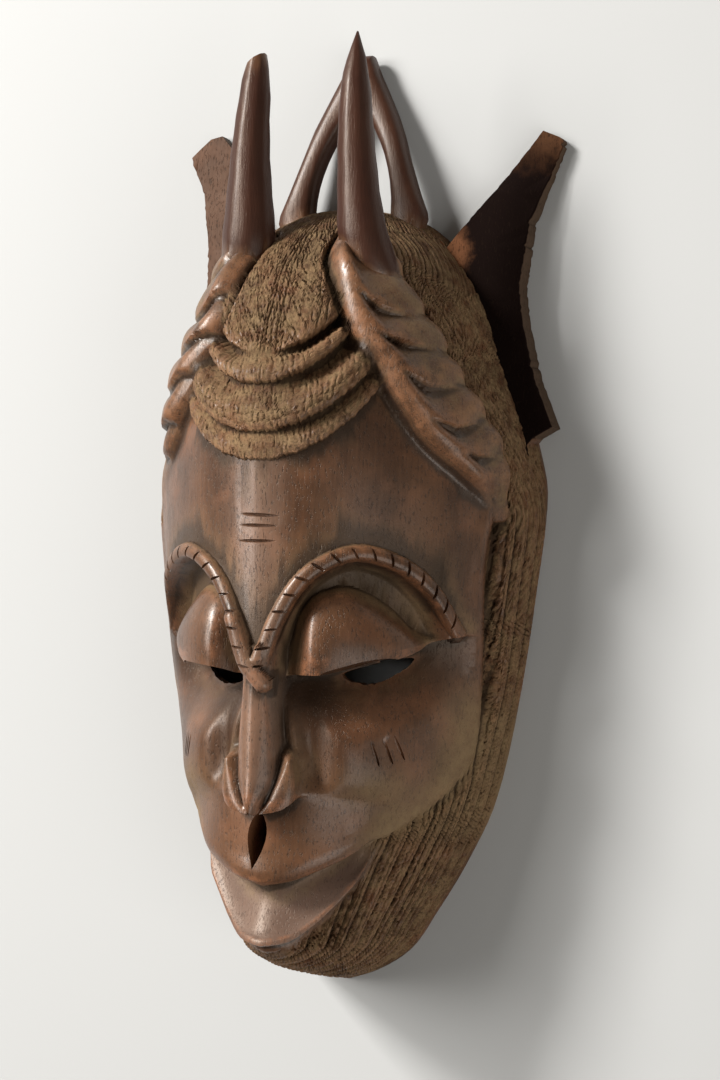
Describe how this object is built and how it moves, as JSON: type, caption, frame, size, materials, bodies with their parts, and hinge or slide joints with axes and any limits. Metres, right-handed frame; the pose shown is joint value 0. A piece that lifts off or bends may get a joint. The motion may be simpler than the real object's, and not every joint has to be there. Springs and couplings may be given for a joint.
{
  "type": "african mask",
  "caption": "Carved wooden horned mask: domed coiffure, twisted side locks, heavy-lidded slit eyes and an open arch behind to hang it by; hollow behind, it lies on its flat back rim.",
  "frame": {"origin": "on the plane of the flat back rim, under the middle of the whole carving", "axes": "+Z out of the back towards the face, +Y from the chin to the hanging loop, +X to the mask's own left"},
  "size_m": [0.2048, 0.4556, 0.1217],
  "materials": {
    "wood": "dark red-brown hardwood, hand polished on the face and horns, tool-marked and dusty in the hair and beard"
  },
  "bodies": {
    "root": {"mask": "wood"}
  },
  "joints": []
}
